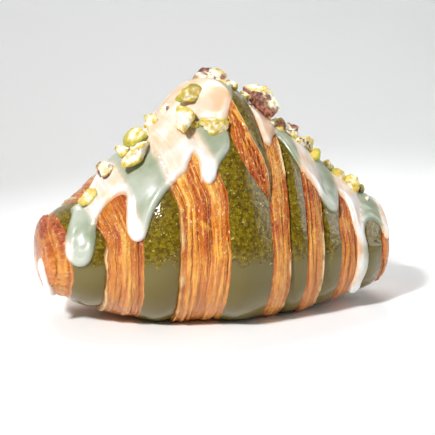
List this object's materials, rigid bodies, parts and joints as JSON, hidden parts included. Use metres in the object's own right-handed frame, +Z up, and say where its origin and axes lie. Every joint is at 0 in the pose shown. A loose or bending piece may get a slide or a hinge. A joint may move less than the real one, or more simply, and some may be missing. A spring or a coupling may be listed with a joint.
{
  "type": "pistachio croissant",
  "caption": "Plump croissant rolled from green and golden dough, its ridge covered in running sugar icing and chopped pistachios.",
  "frame": {"origin": "middle of the box around the croissant, on the table", "axes": "+X along the roll, +Y away from the side seen in the picture, +Z up"},
  "size_m": [0.1484, 0.091, 0.0991],
  "materials": {
    "croissant": null,
    "icing": null
  },
  "bodies": {
    "root": {"croissant": "croissant", "icing": "icing"}
  },
  "joints": []
}
